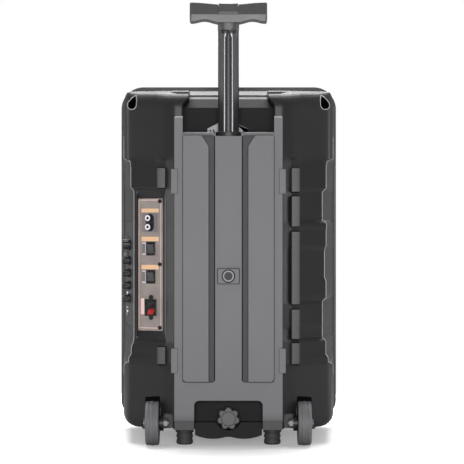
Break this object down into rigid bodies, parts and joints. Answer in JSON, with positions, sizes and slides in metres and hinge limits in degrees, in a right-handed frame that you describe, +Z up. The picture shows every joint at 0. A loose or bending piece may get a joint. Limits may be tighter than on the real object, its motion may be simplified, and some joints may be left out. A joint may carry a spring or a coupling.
{
  "type": "trolley loudspeaker",
  "caption": "Portable battery loudspeaker on wheels with a telescopic T-handle, rear connector plate, side control knobs and a clamped socket for a stand pole.",
  "frame": {"origin": "floor level, under the middle of the bounding box", "axes": "+Z up; the grille faces -Y, the trolley handle and connector plate are at +Y, the control knobs are on the +X side"},
  "size_m": [0.36, 0.3, 0.6876],
  "materials": {
    "cabinet_plastic": "satin, fine moulded grain",
    "rim_plastic": "satin, fine moulded grain",
    "grille_steel": "matte black powder coat on perforated sheet",
    "panel_plastic": "satin, fine moulded grain",
    "handle_plastic": "satin",
    "pole_finish": "satin black coated fluted tube",
    "sleeve_aluminium": "drawn",
    "bright_steel": "zinc plated",
    "black_steel": "black oxide",
    "plate_paint": "satin grey-beige with pale printed lines",
    "switch_plastic": "semi gloss",
    "terminal_plastic": "semi gloss",
    "red_plastic": "semi gloss",
    "side_panel_plastic": "satin",
    "knob_plastic": "satin",
    "key_plastic": "satin",
    "tyre": "moulded tread",
    "hub_plastic": "satin",
    "foot_rubber": "matte",
    "clamp_plastic": "satin",
    "socket_plastic": "satin",
    "driver_paint": "black",
    "cone_paper": "pressed paper with a rubber roll",
    "battery_case": "satin",
    "board": "solder mask"
  },
  "bodies": {
    "cabinet": {"cabinet_base": "cabinet_plastic", "rear_cabinet": "cabinet_plastic", "cabinet_top": "cabinet_plastic", "front_baffle": "rim_plastic", "front_grille": "grille_steel", "cabinet_screws": "black_steel", "trolley_panel": "panel_plastic", "left_cover_panel": "panel_plastic", "right_cover_panel": "panel_plastic", "panel_clips": "panel_plastic", "pole_sleeve": "sleeve_aluminium", "pole_collar": "handle_plastic", "pole_stop_plate": "bright_steel", "connector_plate": "plate_paint", "connector_screws": "black_steel", "line_jacks": "bright_steel", "switch_frames": "switch_plastic", "terminal_body": "terminal_plastic", "side_plate": "side_panel_plastic", "potentiometers": "bright_steel", "mic_jacks": "bright_steel", "media_module": "side_panel_plastic", "axle_bolts": "bright_steel", "rear_feet": "foot_rubber", "front_feet": "foot_rubber", "stand_socket": "socket_plastic", "woofer_frame": "driver_paint", "woofer_cone": "cone_paper", "woofer_magnet": "driver_paint", "horn": "rim_plastic", "horn_driver": "driver_paint", "port_tubes": "rim_plastic", "battery": "battery_case", "amplifier": "board"},
    "handle": {"inner_pole": "pole_finish", "handle_front_shell": "handle_plastic", "handle_rear_shell": "handle_plastic", "handle_screws": "bright_steel", "neck_pin": "black_steel"},
    "handle_button": {"handle_button": "handle_plastic", "release_rod": "bright_steel"},
    "lock_pin": {"lock_pin": "bright_steel"},
    "power_rocker": {"power_rocker": "switch_plastic"},
    "lower_rocker": {"lower_rocker": "switch_plastic"},
    "black_lever": {"black_lever": "terminal_plastic"},
    "red_lever": {"red_lever": "red_plastic"},
    "knob_1": {"knob_1": "knob_plastic"},
    "knob_2": {"knob_2": "knob_plastic"},
    "knob_3": {"knob_3": "knob_plastic"},
    "knob_4": {"knob_4": "knob_plastic"},
    "knob_5": {"knob_5": "knob_plastic"},
    "media_button_1": {"media_button_1": "key_plastic"},
    "media_button_2": {"media_button_2": "key_plastic"},
    "media_button_3": {"media_button_3": "key_plastic"},
    "left_wheel": {"left_tyre": "tyre", "left_hub": "hub_plastic"},
    "right_wheel": {"right_tyre": "tyre", "right_hub": "hub_plastic"},
    "clamp_feed": {"clamp_stud": "bright_steel"},
    "clamp_knob": {"clamp_knob": "clamp_plastic"}
  },
  "joints": [
    {"name": "handle_slide", "type": "slide", "parent": "cabinet", "child": "handle", "axis": [0, 0, 1], "range_m": [-0.146, 0.18]},
    {"name": "button_press", "type": "slide", "parent": "handle", "child": "handle_button", "axis": [0, 0, -1], "range_m": [0, 0.004], "stiffness_N_per_m": 900, "springref_m": -0.003},
    {"name": "pin_retract", "type": "slide", "parent": "handle", "child": "lock_pin", "axis": [0, -1, 0], "range_m": [0, 0.004]},
    {"name": "power_rocker_tip", "type": "hinge", "parent": "cabinet", "child": "power_rocker", "pos_m": [0.12086, 0.09499, 0.306], "axis": [0.9063, -0.4226, 0], "range_deg": [0, 12]},
    {"name": "lower_rocker_tip", "type": "hinge", "parent": "cabinet", "child": "lower_rocker", "pos_m": [0.12086, 0.09499, 0.262], "axis": [0.9063, -0.4226, 0], "range_deg": [0, 12]},
    {"name": "black_lever_press", "type": "hinge", "parent": "cabinet", "child": "black_lever", "pos_m": [0.12331, 0.10024, 0.2174], "axis": [0.9063, -0.4226, 0], "range_deg": [0, 20], "stiffness_Nm_per_rad": 0.02, "springref_deg": -17.19},
    {"name": "red_lever_press", "type": "hinge", "parent": "cabinet", "child": "red_lever", "pos_m": [0.12331, 0.10024, 0.2106], "axis": [-0.9063, 0.4226, 0], "range_deg": [0, 20], "stiffness_Nm_per_rad": 0.02, "springref_deg": -17.19},
    {"name": "knob_1_turn", "type": "hinge", "parent": "cabinet", "child": "knob_1", "pos_m": [0.1594, 0.01479, 0.312], "axis": [0.9897, 0.1431, 0], "range_deg": [-140, 140]},
    {"name": "knob_2_turn", "type": "hinge", "parent": "cabinet", "child": "knob_2", "pos_m": [0.1594, 0.01479, 0.286], "axis": [0.9897, 0.1431, 0], "range_deg": [-140, 140]},
    {"name": "knob_3_turn", "type": "hinge", "parent": "cabinet", "child": "knob_3", "pos_m": [0.1594, 0.01479, 0.266], "axis": [0.9897, 0.1431, 0], "range_deg": [-140, 140]},
    {"name": "knob_4_turn", "type": "hinge", "parent": "cabinet", "child": "knob_4", "pos_m": [0.1594, 0.01479, 0.246], "axis": [0.9897, 0.1431, 0], "range_deg": [-140, 140]},
    {"name": "knob_5_turn", "type": "hinge", "parent": "cabinet", "child": "knob_5", "pos_m": [0.1594, 0.01479, 0.225], "axis": [0.9897, 0.1431, 0], "range_deg": [-140, 140]},
    {"name": "media_button_1_press", "type": "slide", "parent": "cabinet", "child": "media_button_1", "axis": [-0.9897, -0.1431, 0], "range_m": [0, 0.0015], "stiffness_N_per_m": 250, "springref_m": -0.002},
    {"name": "media_button_2_press", "type": "slide", "parent": "cabinet", "child": "media_button_2", "axis": [-0.9897, -0.1431, 0], "range_m": [0, 0.0015], "stiffness_N_per_m": 250, "springref_m": -0.002},
    {"name": "media_button_3_press", "type": "slide", "parent": "cabinet", "child": "media_button_3", "axis": [-0.9897, -0.1431, 0], "range_m": [0, 0.0015], "stiffness_N_per_m": 250, "springref_m": -0.002},
    {"name": "left_wheel_spin", "type": "hinge", "parent": "cabinet", "child": "left_wheel", "pos_m": [0.118, 0.1155, 0.035], "axis": [1, 0, 0], "continuous": true},
    {"name": "right_wheel_spin", "type": "hinge", "parent": "cabinet", "child": "right_wheel", "pos_m": [-0.118, 0.1155, 0.035], "axis": [1, 0, 0], "continuous": true},
    {"name": "clamp_feed", "type": "slide", "parent": "cabinet", "child": "clamp_feed", "axis": [0, 1, 0], "range_m": [0, 0.0025]},
    {"name": "clamp_turn", "type": "hinge", "parent": "clamp_feed", "child": "clamp_knob", "pos_m": [0, 0.13, 0.044], "axis": [0, 1, 0], "range_deg": [0, 720]}
  ],
  "couplings": [
    {"joint": "pin_retract", "follows": "button_press", "ratio": 1},
    {"joint": "clamp_turn", "follows": "clamp_feed", "rad_per_m": 5026.5}
  ]
}
